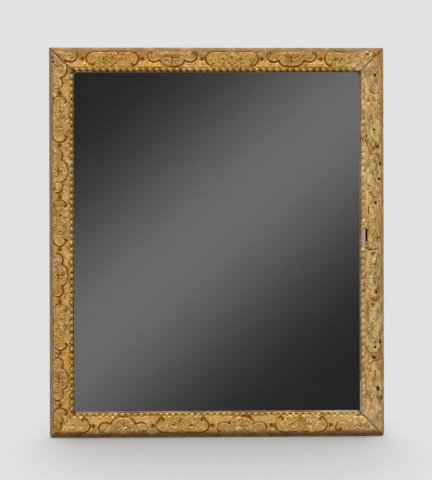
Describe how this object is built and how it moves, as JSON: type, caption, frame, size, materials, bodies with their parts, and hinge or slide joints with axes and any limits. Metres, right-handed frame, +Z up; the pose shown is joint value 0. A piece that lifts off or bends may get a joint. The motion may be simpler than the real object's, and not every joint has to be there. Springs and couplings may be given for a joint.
{
  "type": "wall mirror",
  "caption": "Rectangular wall mirror in a narrow mitred giltwood frame, carved with low strapwork and a beaded sight edge, with a plank backboard and swinging hanging rings.",
  "frame": {"origin": "on the wall plane, in the middle of the backboard's back face", "axes": "+Z up, +Y into the wall, so the glass faces -Y; +X to the right as seen from the front"},
  "size_m": [0.55, 0.032, 0.64],
  "materials": {
    "gilded_carving": "worn water gilding over red bole on carved wood",
    "key_wood": "plain planed hardwood",
    "silvered_glass": "silvered plate glass",
    "softwood": "aged bare pine",
    "forged_iron": "dark forged iron"
  },
  "bodies": {
    "mirror": {"top_rail": "gilded_carving", "left_rail": "gilded_carving", "bottom_rail": "gilded_carving", "right_rail": "gilded_carving", "corner_key_top_left": "key_wood", "corner_key_top_right": "key_wood", "corner_key_bottom_left": "key_wood", "corner_key_bottom_right": "key_wood", "mirror_plate": "silvered_glass", "plate_blocks": "softwood", "backboard_plank_1": "softwood", "backboard_plank_2": "softwood", "backboard_plank_3": "softwood", "backboard_nails": "forged_iron", "hanger_nails": "forged_iron", "left_hanger_strap": "forged_iron", "right_hanger_strap": "forged_iron"},
    "left_ring": {"left_hanging_ring": "forged_iron"},
    "right_ring": {"right_hanging_ring": "forged_iron"}
  },
  "joints": [
    {"name": "left_ring_swing", "type": "hinge", "parent": "mirror", "child": "left_ring", "pos_m": [-0.2645, -0.00572, 0.2], "axis": [1, 0, 0], "range_deg": [0, 175]},
    {"name": "right_ring_swing", "type": "hinge", "parent": "mirror", "child": "right_ring", "pos_m": [0.2645, -0.00572, 0.2], "axis": [1, 0, 0], "range_deg": [0, 175]}
  ]
}
